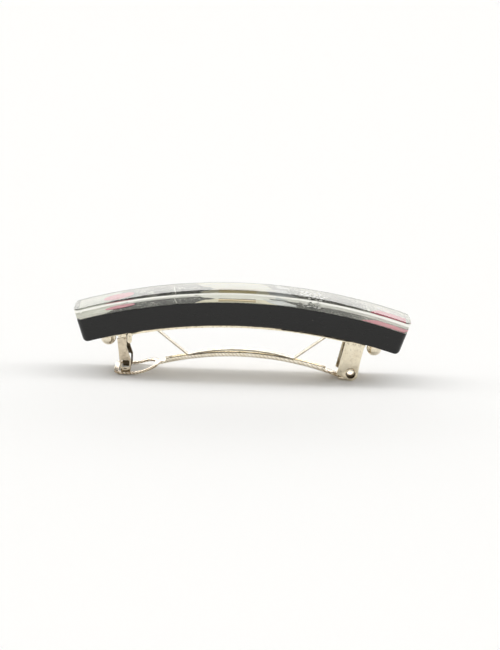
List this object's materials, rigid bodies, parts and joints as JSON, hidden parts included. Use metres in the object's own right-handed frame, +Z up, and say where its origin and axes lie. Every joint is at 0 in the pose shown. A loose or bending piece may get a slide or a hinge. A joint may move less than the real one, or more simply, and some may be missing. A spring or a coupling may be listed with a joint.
{
  "type": "hair barrette",
  "caption": "Arched laminated hair barrette with a spring-steel clip: hinged arm, tension spring and squeeze catch.",
  "frame": {"origin": "on the bench plane under the middle of the bar, at the bottom of the catch legs' feet", "axes": "+X along the bar from the catch to the hinge, +Y to the far side when the catch is on the left, +Z up through the bar's arch"},
  "size_m": [0.0798, 0.01, 0.0219],
  "materials": {
    "black_acetate": "satin polished",
    "clear_resin": "polished clear",
    "dark_sheet": "textured silver-grey",
    "pale_foil": "pearl",
    "pink_foil": "satin",
    "silver_foil": "brushed",
    "cream_foil": "pearl",
    "gold_foil": "satin",
    "glitter": "bright",
    "plated_steel": "pale gold plating"
  },
  "bodies": {
    "root": {"bar_body": "black_acetate", "inlay_sheet": "dark_sheet", "inlay_pale_foil": "pale_foil", "inlay_pink_foil_left": "pink_foil", "inlay_pink_foil_right": "pink_foil", "inlay_silver_foil": "silver_foil", "inlay_cream_foil": "cream_foil", "inlay_gold_plaque": "gold_foil", "inlay_glitter_chips": "glitter", "clear_cap": "clear_resin", "base_plate": "plated_steel", "catch_bracket": "plated_steel", "hinge_pin": "plated_steel", "rivet_catch_end": "plated_steel", "rivet_hinge_end": "plated_steel"},
    "arm": {"arm": "plated_steel"},
    "catch_leg_near": {"catch_leg_near": "plated_steel"},
    "catch_leg_far": {"catch_leg_far": "plated_steel"},
    "tension_spring": {"tension_spring": "plated_steel"}
  },
  "joints": [
    {"name": "arm_hinge", "type": "hinge", "parent": "root", "child": "arm", "pos_m": [0.02639, 0, 0.0022], "axis": [0, -1, 0], "range_deg": [0, 100]},
    {"name": "leg_squeeze", "type": "hinge", "parent": "root", "child": "catch_leg_near", "pos_m": [-0.0284, -0.00313, 0.00883], "axis": [0.9739, 0, 0.227], "range_deg": [0, 6]},
    {"name": "leg_squeeze_far", "type": "hinge", "parent": "root", "child": "catch_leg_far", "pos_m": [-0.0284, 0.00313, 0.00883], "axis": [0.9739, 0, 0.227], "range_deg": [-6, 0]},
    {"name": "spring_flex", "type": "slide", "parent": "root", "child": "tension_spring", "axis": [0, 0, 1], "range_m": [0, 0.0025], "deforming": ["tension_spring"]}
  ],
  "couplings": [
    {"joint": "leg_squeeze_far", "follows": "leg_squeeze", "ratio": -1}
  ]
}
